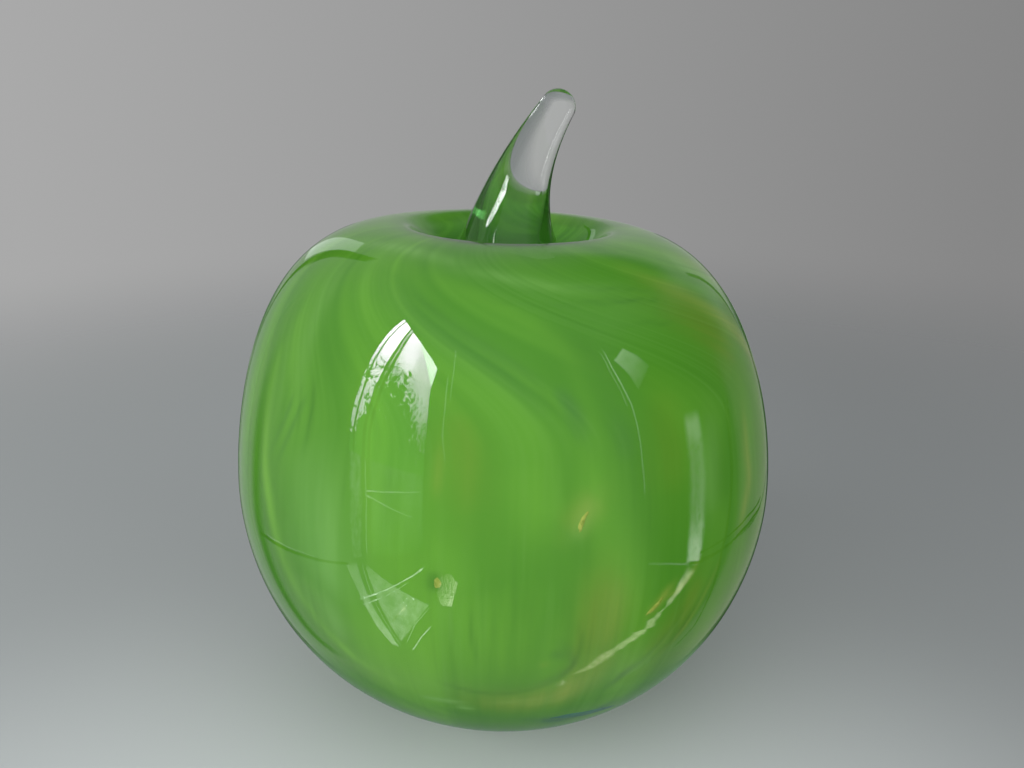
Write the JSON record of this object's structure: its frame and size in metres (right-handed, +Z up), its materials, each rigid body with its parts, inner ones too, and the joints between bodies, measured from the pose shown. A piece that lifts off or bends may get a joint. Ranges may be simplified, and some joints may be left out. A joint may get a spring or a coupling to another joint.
{
  "type": "art glass apple",
  "caption": "Life-like blown glass apple ornament: swirled green colour layer cased in clear glass, dimpled top, curved solid clear stem, ground flat base.",
  "frame": {"origin": "on the resting surface, under the middle of the widest ring", "axes": "+Z up, +X to the right of the picture, which the stem bends towards, +Y away from its viewer"},
  "size_m": [0.163, 0.163, 0.1892],
  "materials": {
    "clear_glass": "fire polished clear soda glass",
    "green_glass": "translucent green with milky and darker swirls",
    "core_glass": "clear soda glass",
    "yellow_glass": "opaque yellow chip, fused",
    "blue_glass": "dark blue-green streak, fused",
    "stem_glass": "fire polished clear soda glass"
  },
  "bodies": {
    "root": {"clear_casing": "clear_glass", "green_colour_coat": "green_glass", "inner_gather": "core_glass", "yellow_glass_chips": "yellow_glass", "blue_glass_streak": "blue_glass", "stem": "stem_glass"}
  },
  "joints": []
}
